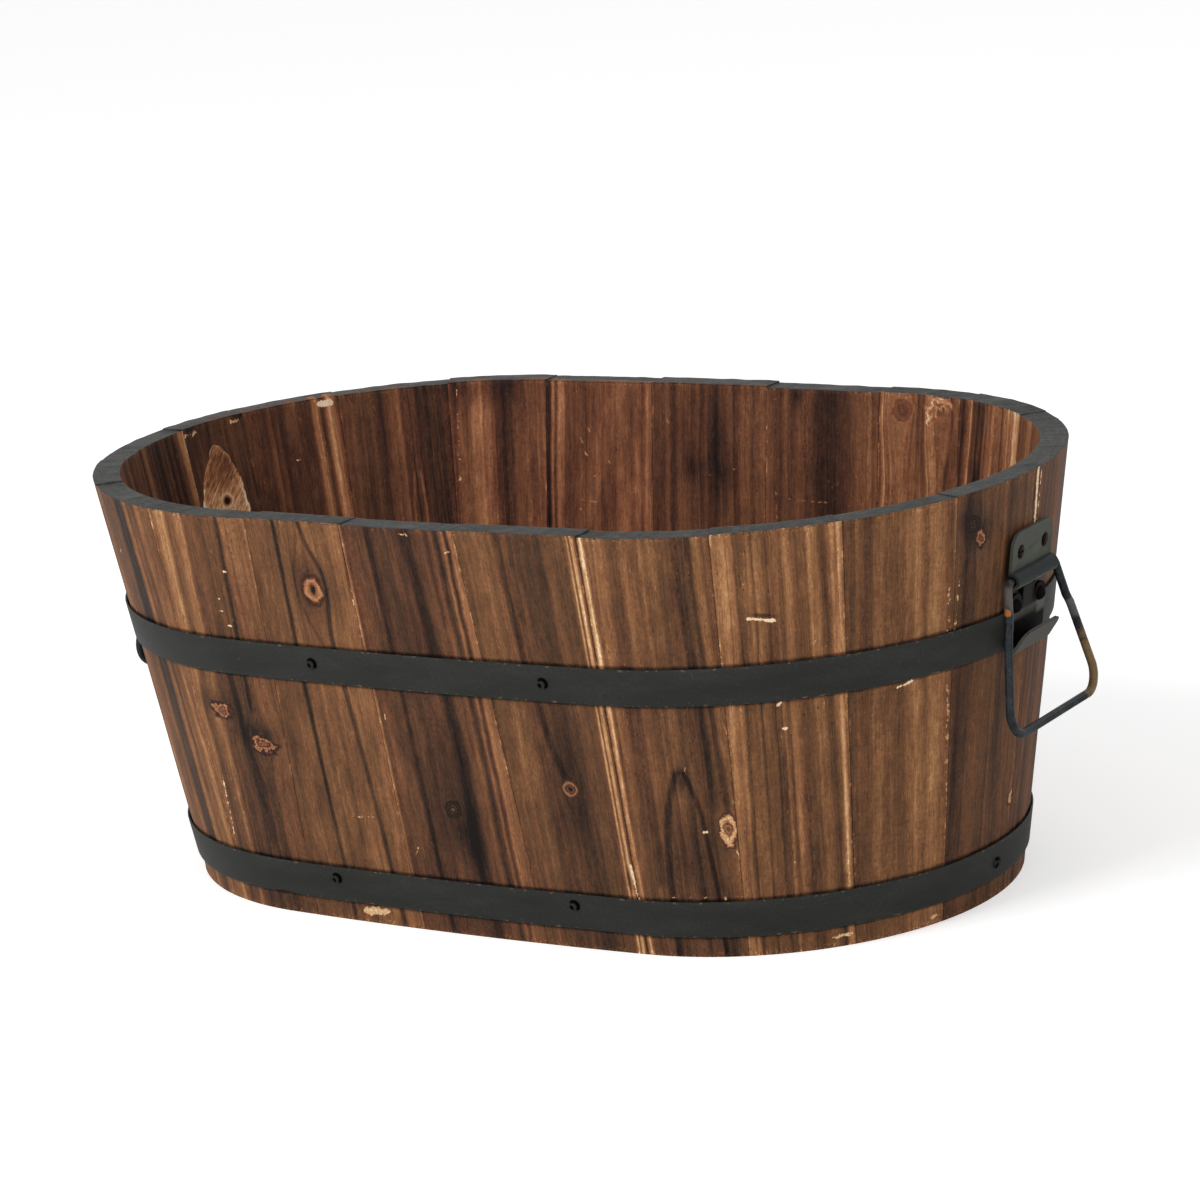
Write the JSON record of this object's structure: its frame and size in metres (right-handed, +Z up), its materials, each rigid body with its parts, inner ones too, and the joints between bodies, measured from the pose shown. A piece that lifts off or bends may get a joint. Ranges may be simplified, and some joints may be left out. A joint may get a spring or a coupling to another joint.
{
  "type": "oval barrel planter",
  "caption": "Oval wooden tub of tapered staves in two black steel hoops, open at the top, with a swinging wire bail on a folded steel bracket at each end.",
  "frame": {"origin": "on the floor under the middle of the tub; the right bail hangs 3 mm further out than the left rim, so the box's own middle lies 3 mm to +X", "axes": "+X along the tub towards the right handle, +Z up, -Y the long side that the picture shows"},
  "size_m": [0.5668, 0.3595, 0.23],
  "materials": {
    "stave_wood": "honey-brown softwood, weathered, dark latewood lines and knots, charcoal on the rim",
    "base_wood": "rough-sawn softwood, unfinished and stained",
    "hoop_steel": "satin black paint, worn at the edges",
    "nail_steel": "black domed heads",
    "bracket_steel": "satin black paint on pressed sheet",
    "screw_steel": "blackened screws with a little rust",
    "bail_wire": "blued black wire, rusting in places"
  },
  "bodies": {
    "barrel": {"stave_01": "stave_wood", "stave_02": "stave_wood", "stave_03": "stave_wood", "stave_04": "stave_wood", "stave_05": "stave_wood", "stave_06": "stave_wood", "stave_07": "stave_wood", "stave_08": "stave_wood", "stave_09": "stave_wood", "stave_10": "stave_wood", "stave_11": "stave_wood", "stave_12": "stave_wood", "stave_13": "stave_wood", "stave_14": "stave_wood", "stave_15": "stave_wood", "stave_16": "stave_wood", "stave_17": "stave_wood", "stave_18": "stave_wood", "stave_19": "stave_wood", "stave_20": "stave_wood", "stave_21": "stave_wood", "stave_22": "stave_wood", "base_board_front": "base_wood", "base_board_middle": "base_wood", "base_board_rear": "base_wood", "upper_hoop": "hoop_steel", "lower_hoop": "hoop_steel", "upper_hoop_nails": "nail_steel", "lower_hoop_nails": "nail_steel", "right_bracket": "bracket_steel", "left_bracket": "bracket_steel", "right_bracket_screws": "screw_steel", "left_bracket_screws": "screw_steel"},
    "right_bail": {"right_bail": "bail_wire"},
    "left_bail": {"left_bail": "bail_wire"}
  },
  "joints": [
    {"name": "right_bail_swing", "type": "hinge", "parent": "barrel", "child": "right_bail", "pos_m": [0.27475, 0, 0.17627], "axis": [0, -1, 0], "range_deg": [-16.7, 169.8]},
    {"name": "left_bail_swing", "type": "hinge", "parent": "barrel", "child": "left_bail", "pos_m": [-0.27475, 0, 0.17627], "axis": [0, 1, 0], "range_deg": [-9.5, 177]}
  ]
}
